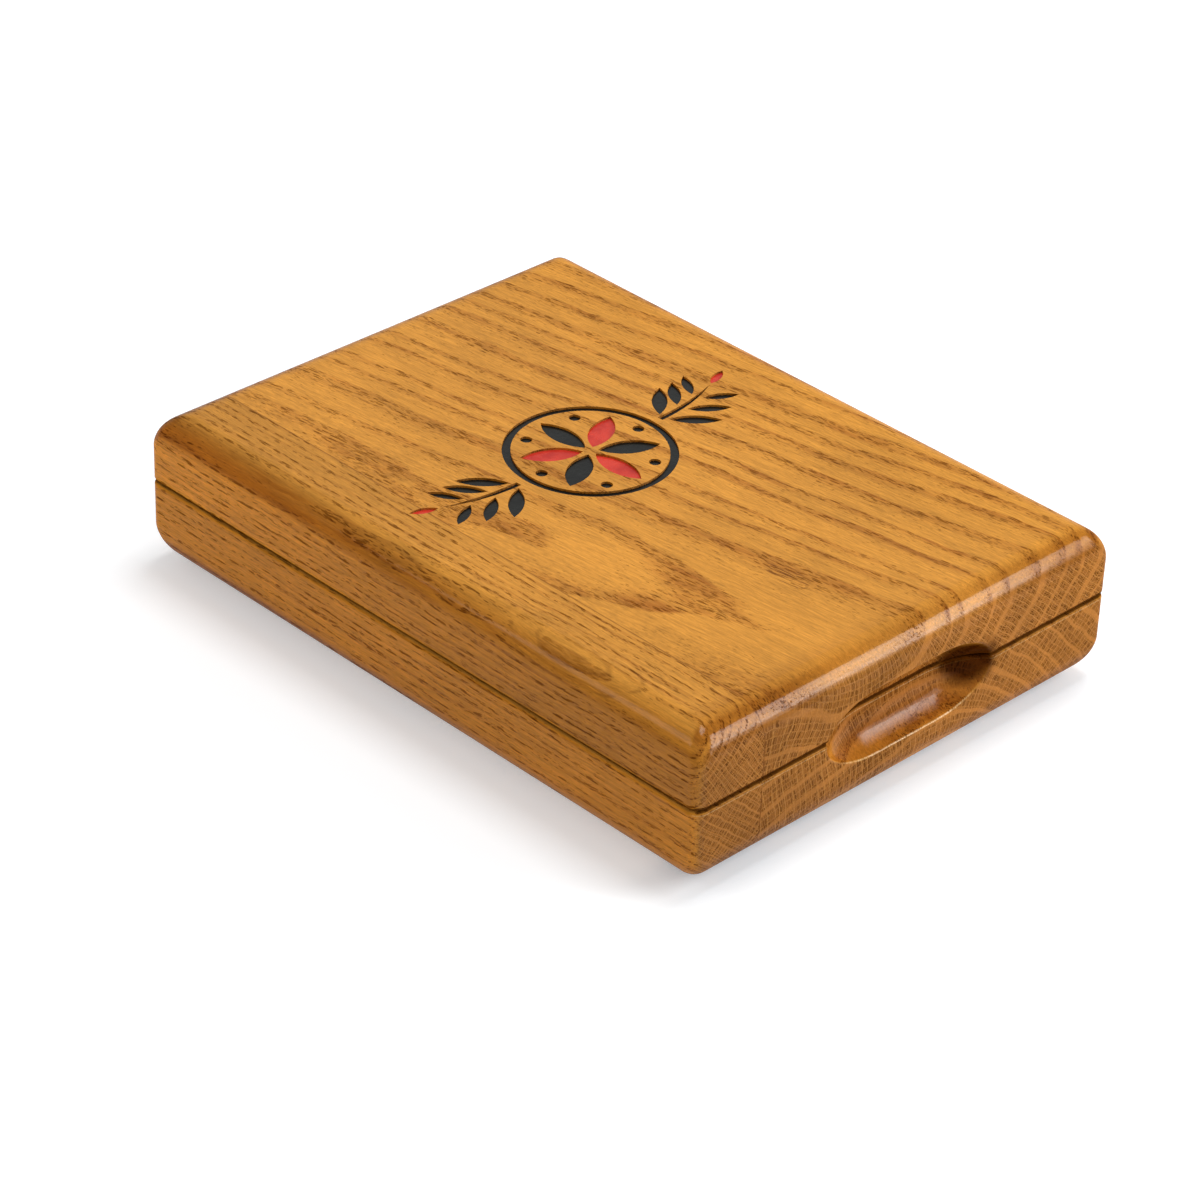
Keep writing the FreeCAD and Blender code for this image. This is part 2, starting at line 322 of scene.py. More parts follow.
# Waves or cells per millimetre: in the log, in the box, and across and along the fibres
FLECK_PACE = (3.4, 4.4, 0.6)
MOTTLE_PACE = (0.1, 0.035, 0.1)
PATCH_PACE = (0.35, 0.12, 0.35)
FIBRE_PACE = (3.0, 0.12)
STREAK_PACE = (0.9, 0.03)
EDGE_SHADE_PACE = (1.5, 0.05)
CRACK_PACE = (3.6, 0.2)
SKIN_PACE = 0.8
FIBRE_SWAY = 1.2  # millimetres
FIBRE_LEAN = 0.12  # how far the board's fibres lean across it, per millimetre

# One over the half axes of the spots, in millimetres
KNOT_SCALE = (0.16, 0.06, 0.16)
CRACKS_SCALE = (0.45, 0.2, 1.0)
# The spot of painted shade at the hollow's far end
RECESS_SHADE_SCALE = (0.17, 0.24, 0.2)

# Vessels: their pace, size, growth in early wood, more on the strip, and least chance
SMALL_VESSELS = ((4.4, 0.6), 0.24, 0.26, 0.0, -0.2)
LARGE_VESSELS = ((3.2, 0.45), 0.18, 0.3, 0.12, 0.0)
SMALL_STRENGTH, LARGE_STRENGTH = 0.5, 0.64

# The end grain's light lines: lines per millimetre, how much they waver, and their width
RAYS = (0.8, 0.25, 0.09)
ROWS = (0.95, 0.7, 0.11)
WALLS = (2.3, 0.9, 0.17)
RAY_STRENGTH, ROW_STRENGTH, WALL_STRENGTH = 0.42, 0.24, 0.2
ROW_SHIFT = 40.0  # sets each row's walls apart from the next row's

# Places here are in millimetres. Facings are parts of the surface's normal, and places in a
# year are shares of its width.

# Bands: each rises from 0 to 1 between its first two numbers and falls between the others
ROUND_EDGE = (0.2, 0.55, 0.9, 0.999)
EARLY_WOOD = (0.0, 0.08, 0.16, 0.62)
LATE_WOOD = (0.7, 0.82, 0.97, 1.0)
HOLLOW_LENGTH = (-57.4, -57.1, -53.5, -53.0)
# The painted shade on the front round edge
FRONT_EDGE_SHADE = (0.68, 0.86, 0.9, 0.9998)

# Smooth steps: each goes from its first number to its second, and there from its third
# number to its fourth, or from 0 to 1
OAK_STEPS = {
    "end face": (0.66, 0.96),
    "side face": (0.25, 0.97),
    "knot": (0.05, 1.0, 1.0, 0.0),
    "pores begin": (0.0, 0.06),
    "pores fade": (0.76, 0.9, 1.0, 0.12),
    "vessel's edge": (-0.03, 0.06),
    # Long grain
    "band streaks": (0.25, 0.75, 0.2, 1.0),
    "band patches": (0.35, 0.65, 0.5, 1.0),
    "bands to the rear": (-20.0, 60.0, 1.0, 0.62),
    "strip to the rear": (-60.0, 60.0, 0.0, -0.2),
    "off the side": (0.97, 0.25),
    "lid's side to the rear": (-40.0, 66.0, -0.2, 0.2),
    "sides to the rear": (-60.0, 60.0, -0.06, 0.07),
    # End grain
    "cell flecks": (0.3, 0.5, 0.5, 1.0),
    "cell chance": (0.0, 1.0, 0.15, 0.85),
    # Painted light: the end grain is lighter towards the right
    "end lit to the right": (-30.0, 38.0, 0.97, 1.2),
    "end flecks": (0.3, 0.7, 0.88, 1.1),
    # The finger hollow, and the painted shade in it, strongest low down
    "hollow's ends": (18.5, 17.8),
    "hollow's height": (6.2, 5.9),
    "hollow's shaded foot": (10.0, 11.5, 1.0, 0.35),
    # Painted shade in the round edges, and a darker band on the top by the front edge
    "side shade to the rear": (-45.0, 55.0, 0.0, 1.45),
    "edge shade streaks": (0.54, 0.62, 0.0, 0.4),
    "edge shade at the corners": (8.0, 34.0, 0.0, 0.8),
    "front shade to the right": (-40.0, 40.0, 0.85, 0.45),
    "turned to the front": (0.0, 0.15),
    "top's front band": (-49.5, -52.8),
    "front band to the left": (30.0, -35.0, 0.1, 0.4),
    "flat top": (0.9, 0.99),
    "off the joint": (0.5, 1.0),
    # Marks
    "glue line": (0.06, 0.16, 0.5, 0.0),
    "crack patch": (0.7, 1.0, 1.0, 0.0),
    "cracks": (0.56, 0.6, 0.0, 0.75),
    "swirl's lines": (0.02, 0.14, 0.32, 0.0),
    "swirl's reach": (0.75, 1.05, 1.0, 0.0),
    "swirl's breaks": (0.42, 0.56),
    # Painted highlights on the hollow's lip and the joint's rim, and painted shade in the joint's
    # gap and at the hollow's far end
    "at the front": (-HALF_LENGTH + 0.3, -HALF_LENGTH + 0.15),
    "lip turns in": (0.9, 0.8),
    "lip's height": (8.2, 9.6, 0.6, 0.0),
    "lip's breaks": (0.35, 0.6, 0.15, 1.0),
    "rim's height": (0.05, 0.14, 0.25, 0.0),
    "rim's breaks": (0.35, 0.6, 0.3, 1.0),
    "rim on the end": (0.2, 0.6),
    "recess_shade": (0.7, 1.25, 1.0, 0.0),
    "gap": (0.18, 0.36, 0.88, 0.0),
    "near the ends": (56.3, 56.9),
    # Lacquer
    "lacquer off the joint": (0.5, 1.0, 0.15, 1.0),
    "lacquer on the end": (0.97, 0.995, 1.0, 0.55),
    "lacquer to the right": (12.0, 40.0, 1.0, 0.72),
    "hollow's bare roof": (11.4, 12.4, 0.0, 0.6),
    "hollow's bare foot": (8.6, 9.4, 0.85, 0.0),
    "foot turned to the front": (0.3, 0.4),
}

# Straight lines: each multiplies by its first number and adds its second
OAK_LINES = {
    "fibre flecks": (0.6, -0.3),
    "mottle on the face": (0.5, 0.14),
    "bands on the strip": (-0.35, 1.0),
    "vessels at the knot": (-0.7, 1.0),
    "mottle on the end": (0.7, 0.65),
    "lines in the pores": (0.7, 0.3),
    "mottled roughness": (0.1, 0.32),
    "lacquer on soil": (-0.8, 1.0),
    "lacquer on pores": (-0.85, 1.0),
    "lacquer in the hollow": (0.05, 1.0),
}
FIBRE_CONTRAST = 1.15
FACE_LIGHT = 0.955
SWIRL_PACE, SWIRL_WOBBLE = 2.6, 3.0
# The joint's pale rim is a painted highlight, and the gap above it painted shade
RIM_HEIGHT = PARTING_HEIGHT - 0.6
GAP_HEIGHT = PARTING_HEIGHT + 0.2
GAP_WIDENS = 0.24  # millimetres
# How uneven the painted shade at the hollow's far end is
RECESS_SHADE_WOBBLE = 0.5
SMALL_PORE = 0.7  # depth, against 1 for a large one
PORE_ROUGHNESS = 0.2
SKIN_HEIGHT, FIBRE_HEIGHT = 0.5, 0.3


class OakFigure(Nodes):
    """Oak's figure as colour, roughness, height and lacquer, from the object's own coordinates.

    The blank is glued up from a wide board and a narrow strip, each with its own rings.
    On the faces, early wood is a darker band that fades into the denser, lighter late wood,
    and vessels show as thin dashes along the grain. On the end grain, dark porous cells lie
    between light rays and light lines along the rings, and each year ends in a smooth band.
    """

    def __init__(self, log_place):
        _, self.given, self.result, tree = new_group(
            "oak_figure",
            [(f"{blank} {label}", FLOAT, 0.0) for blank in ("Board", "Strip")
             for label in BOARD_VALUES]
            + [(label, COLOR, color) for label, color in OAK_COLORS.items()],
            SURFACE + [("Lacquer", FLOAT)])
        super().__init__(tree)
        self.find_place()
        self.find_rings(log_place)
        self.find_fibres()
        self.find_end_cells()
        self.find_hollow()
        recess_shade = self.recess_shade_share()
        color = self.blend(self.end_face, self.face_color(), self.end_color())
        self.put_color(color, recess_shade)
        self.put_surface(recess_shade)

    def step(self, name, value):
        """A named smooth step of a value."""
        return self.ramp(value, *OAK_STEPS[name])

    def line(self, name, value):
        """A value put on a named straight line."""
        return self.times_plus(value, *OAK_LINES[name])

    def near_spot(self, centre, scale):
        """Distance from a spot's centre, with each axis scaled: 1 on the spot's ellipsoid."""
        away = self.vector("SUBTRACT", self.point, centre)
        return self.length(self.scaled(away, scale))

    def grain(self, thick, lengthwise):
        """The fibres' own place, scaled across them and along them."""
        return self.scaled(self.fibre_line, (thick, lengthwise, thick))

    def find_place(self):
        """The point in millimetres, and the face, the half and the blank that it is on."""
        self.point = self.place()
        self.px, self.py, self.pz = self.split(self.point)
        self.off_middle = self.math("ABSOLUTE", self.px)
        self.on_board = self.math("GREATER_THAN", self.px, GLUE_LINE)
        self.on_strip = self.rest(self.on_board)
        self.on_lid = self.math("GREATER_THAN", self.pz, PARTING_HEIGHT)
        self.from_joint = self.apart(self.pz, PARTING_HEIGHT)
        normal = self.add("ShaderNodeTexCoord").outputs["Normal"]
        self.facing_x, self.facing_y, self.facing_z = self.split(self.vector("ABSOLUTE", normal))
        self.end_face = self.step("end face", self.facing_y)
        self.side_face = self.step("side face", self.facing_x)
        self.round_edge = self.band(self.facing_z, *ROUND_EDGE)

    def find_rings(self, log_place):
        """Where the point lies in its log, and its share in early, late and porous wood.

        Round the knot the point is lifted, so that the rings bulge there.
        """
        self.from_knot = self.near_spot(KNOT, KNOT_SCALE)
        self.knot = self.step("knot", self.from_knot)
        lift = self.join(0.0, 0.0, self.product(self.knot, KNOT_LIFT))
        self.lifted = self.vector("ADD", self.point, lift)
        log = self.add("ShaderNodeGroup", {"Point": self.lifted}, node_tree=log_place)
        for label in BOARD_VALUES:
            mix = self.add("ShaderNodeMix", data_type="FLOAT")
            self.put(mix.inputs[0], self.on_board)
            self.put(mix.inputs[2], self.given[f"Strip {label}"])
            self.put(mix.inputs[3], self.given[f"Board {label}"])
            self.put(log.inputs[label], mix.outputs[0])
        self.depth, self.along = log.outputs["Depth"], log.outputs["Along"]
        self.tangent = self.math("ADD", log.outputs["Tangent"],
                                 self.product(self.on_board, BOARD_SHIFT))
        year = self.math("FRACT", log.outputs["Year"])
        self.early = self.band(year, *EARLY_WOOD)
        self.late = self.band(year, *LATE_WOOD)
        self.porous = self.product(self.step("pores begin", year), self.step("pores fade", year))

    def find_fibres(self):
        """Flecks, mottle and patches, the line of the fibres, and the vessels along it."""
        in_log = self.join(self.depth, self.tangent, self.along)
        self.fleck = self.noise(self.scaled(in_log, FLECK_PACE), roughness=0.6)[0]
        self.mottle = self.noise(self.scaled(self.point, MOTTLE_PACE), detail=3.0)[0]
        self.patchy = self.noise(self.scaled(self.point, PATCH_PACE))[0]
        self.uneven = self.math("SUBTRACT", self.patchy, 0.5)
        sway = self.product(self.uneven, FIBRE_SWAY)
        leaning = self.times_plus(self.product(self.on_board, self.py), FIBRE_LEAN, sway)
        self.fibre_line = self.vector("ADD", self.lifted, self.join(leaning, 0.0, sway))
        self.fibre = self.noise(self.grain(*FIBRE_PACE), detail=4.0, roughness=0.72)[0]
        self.streaky = self.noise(self.grain(*STREAK_PACE), detail=3.0, roughness=0.6)[0]
        self.small = self.vessels(*SMALL_VESSELS)
        self.large = self.vessels(*LARGE_VESSELS)

    def vessels(self, pace, size, growth, strip_growth, least_chance):
        """Dashes along the grain, one in each cell of a size that grows in early wood.

        A cell's chance shrinks its dash, and late wood has none.
        """
        cells = self.add("ShaderNodeTexVoronoi", {"Vector": self.grain(*pace), "Scale": 1.0,
                                                  "Randomness": 0.9}, feature="F1")
        chance = self.split(cells.outputs["Color"])[0]
        growth = self.times_plus(self.on_strip, strip_growth, growth)
        size = self.times_plus(self.early, growth, size)
        size = self.product(size, self.ramp(chance, least_chance, 1.0), self.rest(self.late))
        inside = self.math("SUBTRACT", size, cells.outputs["Distance"])
        return self.step("vessel's edge", inside)

    def uneven_steps(self, place, line_width):
        """Steps of uneven length along a scale: the lines between them, and each step's chance."""
        cells = {"W": place, "Scale": 1.0, "Randomness": 0.75}
        border = self.add("ShaderNodeTexVoronoi", cells, feature="DISTANCE_TO_EDGE",
                          voronoi_dimensions="1D")
        each = self.add("ShaderNodeTexVoronoi", cells, feature="F1", voronoi_dimensions="1D")
        line = self.ramp(border.outputs["Distance"], line_width * 0.4, line_width, 1.0, 0.0)
        return line, self.split(each.outputs["Color"])[0]

    def find_end_cells(self):
        """The end grain's rays, rows and walls, and the dark cells that they leave free."""
        waver = self.math("SUBTRACT", self.fleck, 0.5)

        def lines(place, kind, shift=0.0):
            pace, wavering, width = kind
            moved = self.times_plus(waver, wavering, shift)
            return self.uneven_steps(self.times_plus(place, pace, moved), width)

        self.ray = lines(self.tangent, RAYS)[0]
        self.row, row_chance = lines(self.depth, ROWS)
        self.wall, chance = lines(self.tangent, WALLS, self.product(row_chance, ROW_SHIFT))
        net = self.largest(self.ray, self.wall, self.row)
        self.cell = self.product(self.porous, self.rest(net),
                                 self.step("cell flecks", self.fleck),
                                 self.step("cell chance", chance))

    def find_hollow(self):
        """The finger hollow's place: a block at the middle of the front end."""
        self.in_hollow = self.product(
            self.band(self.py, *HOLLOW_LENGTH), self.step("hollow's ends", self.off_middle),
            self.step("hollow's height", self.apart(self.pz, HOLLOW_HEIGHT)))

    def face_color(self):
        """Long grain: early wood's darker bands, vessels, and the fibres' light and shade."""
        given = self.given
        band = self.product(
            self.early, self.step("band streaks", self.streaky),
            self.step("band patches", self.patchy),
            self.line("bands on the strip", self.on_strip),
            self.step("bands to the rear", self.py))
        face = self.blend(band, given["Wood"], given["Early Wood"])
        healed = self.line("vessels at the knot", self.knot)
        for vessel, strength in ((self.small, SMALL_STRENGTH), (self.large, LARGE_STRENGTH)):
            face = self.blend(self.product(vessel, healed, strength), face, given["Vessel"])
        face = self.scaled(face, self.blend(self.side_face, WHITE, given["Side Tint"]))
        return self.shaded(face, self.face_shade())

    def face_shade(self):
        """How light the long grain is: by fibre and mottle, and by place along the box."""
        fine = self.times_plus(self.fibre, FIBRE_CONTRAST,
                               self.line("fibre flecks", self.fleck))
        fine = self.math("ADD", fine, self.line("mottle on the face", self.mottle))
        strip = self.product(self.on_strip, self.step("strip to the rear", self.py),
                             self.step("off the side", self.facing_x))
        strip = self.math("ADD", strip, FACE_LIGHT)
        side = self.product(self.on_lid, self.step("lid's side to the rear", self.py))
        side = self.math("ADD", side, self.step("sides to the rear", self.py))
        side = self.times_plus(side, self.side_face, 1.0)
        return self.product(fine, strip, side)

    def end_color(self):
        """End grain: dark cells, light rays, rows and walls, and a smooth band each year."""
        given = self.given
        end = self.blend(self.porous, given["End Wood"], given["Porous Tint"], "MULTIPLY")
        end = self.blend(self.cell, end, given["End Cell"])
        bright = self.largest(self.product(self.ray, RAY_STRENGTH),
                              self.product(self.wall, WALL_STRENGTH),
                              self.product(self.row, ROW_STRENGTH))
        bright = self.product(bright, self.line("lines in the pores", self.porous))
        end = self.blend(bright, end, given["Ray"])
        # Mottle and flecks, and painted light that makes the end grain lighter towards the right
        shade = self.product(self.line("mottle on the end", self.mottle),
                             self.step("end lit to the right", self.px),
                             self.step("end flecks", self.fleck))
        return self.shaded(end, shade)

    def painted_edge_shade_share(self):
        """Painted shade in the round edges: along the sides, at the corners and at the front, and a
        darker band on the top by the front edge.
        """
        streak = self.step("edge shade streaks", self.noise(self.grain(*EDGE_SHADE_PACE))[0])
        side = self.product(self.facing_x, self.step("side shade to the rear", self.py))
        side = self.times_plus(streak, self.facing_x, side)
        side = self.product(self.round_edge, side)
        corners = self.product(self.round_edge, self.facing_y,
                               self.step("edge shade at the corners", self.off_middle))
        front = self.product(self.band(self.facing_z, *FRONT_EDGE_SHADE),
                             self.step("front shade to the right", self.px),
                             self.step("turned to the front", self.facing_y))
        band = self.product(self.step("top's front band", self.py),
                            self.step("front band to the left", self.px),
                            self.step("flat top", self.facing_z))
        stain = self.math("ADD", self.math("ADD", side, corners),
                          self.math("ADD", front, band), clamp=True)
        return self.product(stain, self.rest(self.in_hollow),
                            self.step("off the joint", self.from_joint))

    def mark_share(self):
        """Thin dark marks: the glue line, a patch of cracks, and broken rings round the knot."""
        glue = self.step("glue line", self.apart(self.px, GLUE_LINE))
        cracks = self.noise(self.grain(*CRACK_PACE), detail=1.0)[0]
        cracks = self.product(self.step("crack patch", self.near_spot(CRACKS, CRACKS_SCALE)),
                              self.step("cracks", cracks))
        turn = self.times_plus(self.from_knot, SWIRL_PACE,
                               self.product(self.mottle, SWIRL_WOBBLE))
        line = self.apart(self.math("FRACT", turn), 0.5)
        swirl = self.product(self.step("swirl's lines", line),
                             self.step("swirl's reach", self.from_knot),
                             self.step("swirl's breaks", self.streaky))
        return self.largest(swirl, glue, cracks)

    def edge_highlight_share(self):
        """Painted highlights: a pale line on the lip under the finger hollow, and a pale rim under
        the joint.
        """
        lip = self.product(self.step("at the front", self.py),
                           self.step("lip turns in", self.facing_y),
                           self.step("lip's height", self.pz),
                           self.step("lip's breaks", self.fleck))
        rim = self.product(self.step("rim's height", self.apart(self.pz, RIM_HEIGHT)),
                           self.step("rim's breaks", self.fleck),
                           self.step("rim on the end", self.facing_y))
        return self.largest(lip, rim)

    def recess_shade_share(self):
        """Painted shade in the open joint, wider at the ends and in the hollow, and at the finger
        hollow's far end.
        """
        recess_shade = self.times_plus(self.uneven, RECESS_SHADE_WOBBLE, self.near_spot(HOLLOW_END, RECESS_SHADE_SCALE))
        off_middle = self.math("ABSOLUTE", self.py)
        wide = self.largest(self.in_hollow, self.step("near the ends", off_middle))
        gap = self.times_plus(wide, -GAP_WIDENS, self.apart(self.pz, GAP_HEIGHT))
        return self.largest(self.step("recess_shade", recess_shade), self.step("gap", gap))

    def put_color(self, color, recess_shade):
        """The wood's colour with painted shade in the hollow and the round edges, marks, painted
        highlights on the lip and rim, and painted shade in the joint and at the hollow's far end.
        """
        given = self.given
        # Painted shade in the finger hollow, strongest low in it
        hollow = self.product(self.in_hollow, self.step("hollow's shaded foot", self.pz))
        color = self.blend(hollow, color, given["Hollow Shade"], "MULTIPLY")
        # Painted shade in the round edges and on the top's front band
        color = self.blend(self.painted_edge_shade_share(), color, given["Edge Tint"], "MULTIPLY")
        color = self.blend(self.mark_share(), color, given["Vessel"])
        # Painted highlights on the hollow's lip and under the joint
        color = self.blend(self.edge_highlight_share(), color, given["Lip Highlight"])
        # Painted shade in the joint's gap and at the hollow's far end
        color = self.blend(recess_shade, color, given["Recess Shade"], "MULTIPLY")
        self.put(self.result["Color"], color)

    def put_surface(self, recess_shade):
        """Roughness, height and lacquer: open pores are rough, deep and nearly bare."""
        result = self.result
        pore = self.largest(self.product(self.small, SMALL_PORE), self.large,
                            self.product(self.cell, self.end_face))
        rough = self.line("mottled roughness", self.mottle)
        self.put(result["Roughness"], self.times_plus(pore, PORE_ROUGHNESS, rough))
        skin = self.noise(self.point, scale=SKIN_PACE)[0]
        skin = self.times_plus(skin, SKIN_HEIGHT, self.product(self.fibre, FIBRE_HEIGHT))
        self.put(result["Height"], self.times_plus(pore, -1.0, skin))
        roof = self.product(self.in_hollow, self.step("hollow's bare roof", self.pz))
        foot = self.product(self.in_hollow, self.step("hollow's bare foot", self.pz),
                            self.step("foot turned to the front", self.facing_y))
        self.put(result["Lacquer"], self.product(
            self.step("lacquer off the joint", self.from_joint),
            self.step("lacquer on the end", self.facing_y),
            self.line("lacquer on soil", recess_shade), self.line("lacquer on pores", pore),
            self.line("lacquer in the hollow", self.in_hollow), self.rest(roof),
            self.step("lacquer to the right", self.px), self.rest(foot)))


# -------- finishes

# Constants on the shader's own sockets
LACQUERED = {"Coat Roughness": 0.12, "Specular IOR Level": 0.0}
GLOSSY = {"Coat Weight": 0.12, "Coat Roughness": 0.12, "Specular IOR Level": 0.15}
BARE_METAL = {"Metallic": 1.0}
WOOLLY = {"Specular IOR Level": 0.15, "Sheen Weight": 0.35, "Sheen Roughness": 0.6,
          "Sheen Tint": srgb(150, 200, 165)}

# How strongly each finish's height shows, and how deep it is in millimetres
OAK_RELIEF = (1.0, 0.04)
ENAMEL_RELIEF = (0.6, 0.05)
METAL_RELIEF = (0.25, 0.006)
FELT_RELIEF = (0.9, 0.15)

FULL_LACQUER = 0.3

# Noise: waves per millimetre, how many finer waves lie on them, and how strong those are
ENAMEL_CLOUD = {"scale": 0.35, "detail": 4.0, "roughness": 0.6}
ENAMEL_RIPPLE = {"scale": 1.1, "detail": 1.0}
ENAMEL_DUST = {"scale": 7.0, "roughness": 0.7}
METAL_GROOVE = {"detail": 1.0}
METAL_STAIN = {"scale": 0.6}
FELT_BEND = {"scale": 0.9}
FELT_STRAND = {"detail": 3.0, "roughness": 0.7}
FELT_CLOUD = {"scale": 0.12, "detail": 3.0}

# Smooth steps, as in the oak's table
ENAMEL_DEEPENS = (0.3, 0.72)
ENAMEL_SPECKS = (0.66, 0.78)
METAL_DULLS = (0.45, 0.9)
FELT_LIGHTENS = (0.4, 0.78)
FELT_CLOUDS = (0.35, 0.7, 0.0, 0.35)
FELT_LINT = (0.43, 0.5)

# Straight lines, as in the oak's table
CLOUD_ROUGHNESS = (0.16, 0.2)
GROOVE_SHADE = (0.16, 0.92)
GROOVE_ROUGHNESS = (0.12, 0.18)
FELT_ROUGHNESS = (-0.1, 1.0)

SPECK_STRENGTH, SPECK_ROUGHNESS, DUST_HEIGHT = 0.6, 0.2, 0.15
STAIN_ROUGHNESS = 0.16
LINT_STRENGTH = 0.5
LATHE_PACE = 6.0  # grooves per millimetre
MATTING = (2.5, 2.5, 2.5)  # how far the felt's fibres wander, in millimetres
STRANDS_ALONG = (2.2, 9.0, 4.0)
STRANDS_ACROSS = (9.0, 2.0, 4.0)

FELT_DEEP = srgb(18, 58, 38)
FELT_LIGHT = srgb(52, 112, 76)
FELT_CLOUDED = srgb(30, 74, 52)
LINT = srgb(128, 160, 132)

# Each piece of wood's own rings; what isn't given is 0
LID_BOARD = {"Bend": 1.15, "Corner": -1.0, "Stair": 7.0, "Drift": 0.26, "Dive": 0.086,
             "Ring Width": 5.4, "Warp": 7.0, "Seed": 3.0}
LID_STRIP = {"Lean": 0.75, "Dive": -0.012, "Ring Width": 1.2, "Warp": 1.0, "Seed": 11.0}
BASE_BOARD = {"Lean": 0.25, "Bend": -1.3, "Corner": 13.0, "Drift": 0.1, "Dive": 0.03,
              "Ring Width": 3.9, "Warp": 4.0, "Seed": 17.0}
BASE_STRIP = {"Lean": -0.9, "Dive": -0.01, "Ring Width": 1.4, "Warp": 1.0, "Seed": 23.0}


def principled(name, constants):
    """A material with one Principled shader and constants on the shader's own sockets."""
    material = bpy.data.materials.new(name)
    material.use_nodes = True
    shader = material.node_tree.nodes["Principled BSDF"]
    for label, value in constants.items():
        shader.inputs[label].default_value = value
    return material, Nodes(material.node_tree), shader


def cover(nodes, shader, surface, relief):
    """Feeds a shader with a surface's colour and roughness, and with its height as bump."""
    strength, depth = relief
    bump = nodes.add("ShaderNodeBump", {"Height": surface["Height"], "Strength": strength,
                                        "Distance": depth * MM})
    nodes.put(shader.inputs["Base Color"], surface["Color"])
    nodes.put(shader.inputs["Roughness"], surface["Roughness"])
    nodes.put(shader.inputs["Normal"], bump.outputs["Normal"])


def covered(name, constants, group, values, relief):
    """A material with a shader group's surface; gives its helper, shader and surface too."""
    material, nodes, shader = principled(name, constants)
    surface = nodes.add("ShaderNodeGroup", values, node_tree=group).outputs
    cover(nodes, shader, surface, relief)
    return material, nodes, shader, surface


def oak_material(name, oak, board, strip):
    """Lacquered oak glued up from a wide board and a narrow strip."""
    values = {f"Board {label}": value for label, value in board.items()}
    values.update({f"Strip {label}": value for label, value in strip.items()})
    material, nodes, shader, figure = covered(name, LACQUERED, oak, values, OAK_RELIEF)
    nodes.put(shader.inputs["Coat Weight"], nodes.product(figure["Lacquer"], FULL_LACQUER))
    return material


def build_enamel_group():
    """Poured enamel: slow clouds of a deeper shade, fine specks, and a gently rippled skin."""
    nodes, given, result, tree = new_group(
        "enamel_skin", [("Paint", COLOR, None), ("Deep", COLOR, None), ("Speck", COLOR, None)],
        SURFACE)
    place = nodes.place()
    cloud = nodes.noise(place, **ENAMEL_CLOUD)[0]
    ripple = nodes.noise(place, **ENAMEL_RIPPLE)[0]
    dust = nodes.noise(place, **ENAMEL_DUST)[0]
    color = nodes.blend(nodes.ramp(cloud, *ENAMEL_DEEPENS), given["Paint"], given["Deep"])
    speck = nodes.ramp(dust, *ENAMEL_SPECKS)
    color = nodes.blend(nodes.product(speck, SPECK_STRENGTH), color, given["Speck"])
    nodes.put(result["Color"], color)
    rough = nodes.times_plus(cloud, *CLOUD_ROUGHNESS)
    nodes.put(result["Roughness"], nodes.times_plus(speck, SPECK_ROUGHNESS, rough))
    nodes.put(result["Height"], nodes.times_plus(dust, DUST_HEIGHT, ripple))
    return tree


def enamel_material(name, enamel, paint, deep, speck):
    """Gloss enamel poured into the recess of the lid."""
    values = {"Paint": paint, "Deep": deep, "Speck": speck}
    return covered(name, GLOSSY, enamel, values, ENAMEL_RELIEF)[0]


def build_turned_metal_group():
    """Metal turned or ground on a lathe: fine rings round an upright axis, with faint stains.

    The axes stand at plus and minus the same distances, so the distance from the nearest one
    comes from the point's coordinates without their signs.
    """
    nodes, given, result, tree = new_group(
        "turned_metal", [("Axis", VECTOR, None), ("Metal", COLOR, None), ("Stained", COLOR, None)],
        SURFACE)
    place = nodes.place()
    away = nodes.vector("SUBTRACT", nodes.vector("ABSOLUTE", place), given["Axis"])
    radius = nodes.length(nodes.scaled(away, (1.0, 1.0, 0.0)))
    rings = nodes.join(nodes.product(radius, LATHE_PACE), 0.0,
                       nodes.product(nodes.split(place)[2], LATHE_PACE))
    groove = nodes.noise(rings, **METAL_GROOVE)[0]
    stained = nodes.ramp(nodes.noise(place, **METAL_STAIN)[0], *METAL_DULLS)
    color = nodes.blend(stained, given["Metal"], given["Stained"])
    nodes.put(result["Color"], nodes.shaded(color, nodes.times_plus(groove, *GROOVE_SHADE)))
    rough = nodes.times_plus(groove, *GROOVE_ROUGHNESS)
    nodes.put(result["Roughness"], nodes.times_plus(stained, STAIN_ROUGHNESS, rough))
    nodes.put(result["Height"], groove)
    return tree


def turned_material(name, turned, axis, metal, stained):
    """A metal pin or disc with the marks of the lathe."""
    values = {"Axis": axis, "Metal": metal, "Stained": stained}
    return covered(name, BARE_METAL, turned, values, METAL_RELIEF)[0]


def felt_material():
    """Pressed wool felt: matted fibres in every direction, uneven dye, lint and a soft sheen."""
    material, nodes, shader = principled("green_wool_felt", WOOLLY)
    place = nodes.place()
    bend = nodes.noise(place, **FELT_BEND)[1]
    matted = nodes.vector("ADD", place, nodes.scaled(bend, MATTING))
    strands, crossed = (nodes.noise(nodes.scaled(matted, pace), **FELT_STRAND)[0]
                        for pace in (STRANDS_ALONG, STRANDS_ACROSS))
    cloud = nodes.noise(place, **FELT_CLOUD)[0]
    fibre = nodes.largest(strands, crossed)
    color = nodes.blend(nodes.ramp(fibre, *FELT_LIGHTENS), FELT_DEEP, FELT_LIGHT)
    color = nodes.blend(nodes.ramp(cloud, *FELT_CLOUDS), color, FELT_CLOUDED)
    lint = nodes.ramp(nodes.product(strands, crossed), *FELT_LINT)
    color = nodes.blend(nodes.product(lint, LINT_STRENGTH), color, LINT)
    rough = nodes.times_plus(fibre, *FELT_ROUGHNESS)
    cover(nodes, shader, {"Color": color, "Roughness": rough, "Height": fibre}, FELT_RELIEF)
    return material


# -------- felt sheets

